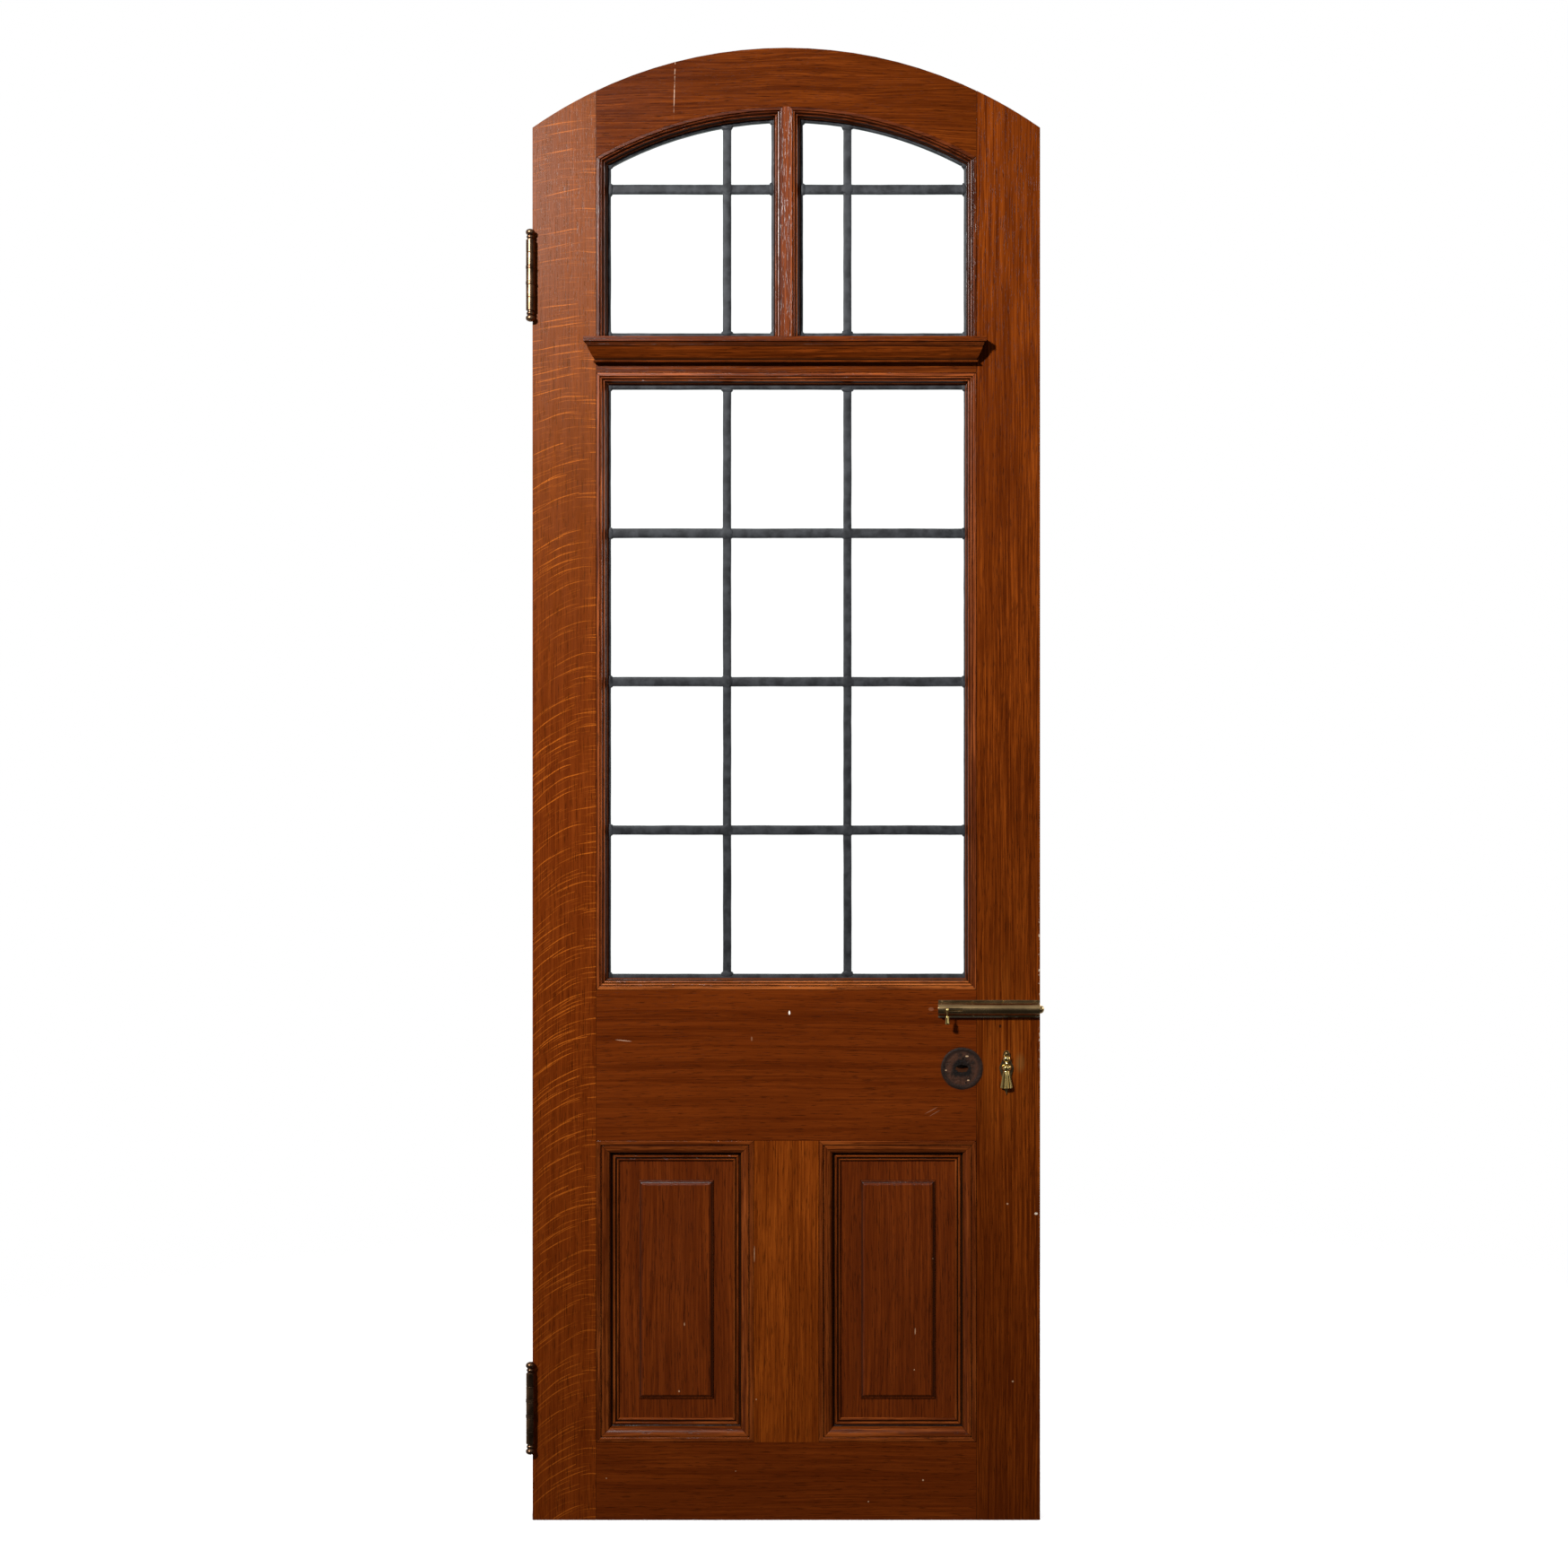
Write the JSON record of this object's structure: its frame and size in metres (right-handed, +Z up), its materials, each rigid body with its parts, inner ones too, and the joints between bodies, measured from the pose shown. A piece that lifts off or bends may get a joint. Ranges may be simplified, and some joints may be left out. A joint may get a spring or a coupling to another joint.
{
  "type": "arched glazed external door",
  "caption": "Arched oak door leaf with leaded clear lights over two fielded panels, on butt hinges, with a barrel bolt and a keyhole under a swinging cover.",
  "frame": {"origin": "middle of the lower hinge's frame leaf, on the flat back that is screwed to the door frame", "axes": "+Z up along the door's height, -Y out of the outside face, -X out of the back of the hinge leaves, towards the door frame"},
  "size_m": [0.7763, 0.0698, 2.21],
  "materials": {
    "oak_frame": "varnished, quarter sawn oak, reddish brown, worn satin gloss",
    "oak_moulding": "varnished oak mouldings, darker in the quirks, bright on the arrises",
    "oak_panel": "varnished oak panels, dark, upright grain",
    "clear_glass": "clear, smooth",
    "lead_came": "dull grey lead came with lumpy soldered joints",
    "aged_brass": "aged brass, brown, worn",
    "polished_brass": "handled brass, brighter",
    "hinge_bronze": "dark antique brass with rubbed highlights",
    "lock_iron": "dark iron, dull"
  },
  "bodies": {
    "frame_leaves": {"hinge_lower_frame_leaf": "hinge_bronze", "hinge_upper_frame_leaf": "hinge_bronze"},
    "door": {"bolt_case": "aged_brass", "cornice_transom": "oak_frame", "hinge_lower_door_leaf": "hinge_bronze", "hinge_upper_door_leaf": "hinge_bronze", "keyhole_plate": "aged_brass", "lead_lower": "lead_came", "lead_upper_left": "lead_came", "lead_upper_right": "lead_came", "mortice_lock": "lock_iron", "moulding_light_bottom": "oak_moulding", "moulding_light_left": "oak_moulding", "moulding_light_right": "oak_moulding", "moulding_light_top": "oak_moulding", "moulding_panel_left_bottom": "oak_moulding", "moulding_panel_left_left": "oak_moulding", "moulding_panel_left_right": "oak_moulding", "moulding_panel_left_top": "oak_moulding", "moulding_panel_right_bottom": "oak_moulding", "moulding_panel_right_left": "oak_moulding", "moulding_panel_right_right": "oak_moulding", "moulding_panel_right_top": "oak_moulding", "moulding_upper_left_head": "oak_moulding", "moulding_upper_left_jamb": "oak_moulding", "moulding_upper_right_head": "oak_moulding", "moulding_upper_right_jamb": "oak_moulding", "mullion_upper": "oak_frame", "muntin_bottom": "oak_frame", "pane_lower_row1_col1": "clear_glass", "pane_lower_row1_col2": "clear_glass", "pane_lower_row1_col3": "clear_glass", "pane_lower_row2_col1": "clear_glass", "pane_lower_row2_col2": "clear_glass", "pane_lower_row2_col3": "clear_glass", "pane_lower_row3_col1": "clear_glass", "pane_lower_row3_col2": "clear_glass", "pane_lower_row3_col3": "clear_glass", "pane_lower_row4_col1": "clear_glass", "pane_lower_row4_col2": "clear_glass", "pane_lower_row4_col3": "clear_glass", "pane_upper_left_head_inner": "clear_glass", "pane_upper_left_head_outer": "clear_glass", "pane_upper_left_low_inner": "clear_glass", "pane_upper_left_low_outer": "clear_glass", "pane_upper_right_head_inner": "clear_glass", "pane_upper_right_head_outer": "clear_glass", "pane_upper_right_low_inner": "clear_glass", "pane_upper_right_low_outer": "clear_glass", "panel_left": "oak_panel", "panel_right": "oak_panel", "rail_bottom": "oak_frame", "rail_lock": "oak_frame", "rail_top_arched": "oak_frame", "rail_transom": "oak_frame", "stile_hinge_side": "oak_frame", "stile_lock_side": "oak_frame"},
    "bolt": {"bolt_rod": "aged_brass", "bolt_pull": "polished_brass"},
    "cover": {"keyhole_cover": "polished_brass"}
  },
  "joints": [
    {"name": "door_hinge", "type": "hinge", "parent": "frame_leaves", "child": "door", "pos_m": [0.0043, -0.02275, 0], "axis": [0, 0, -1], "range_deg": [0, 165]},
    {"name": "bolt_slide", "type": "slide", "parent": "door", "child": "bolt", "axis": [1, 0, 0], "range_m": [0, 0.02]},
    {"name": "cover_swing", "type": "hinge", "parent": "door", "child": "cover", "pos_m": [0.7173, -0.01725, 0.5305], "axis": [0, -1, 0], "range_deg": [-150, 150]}
  ]
}
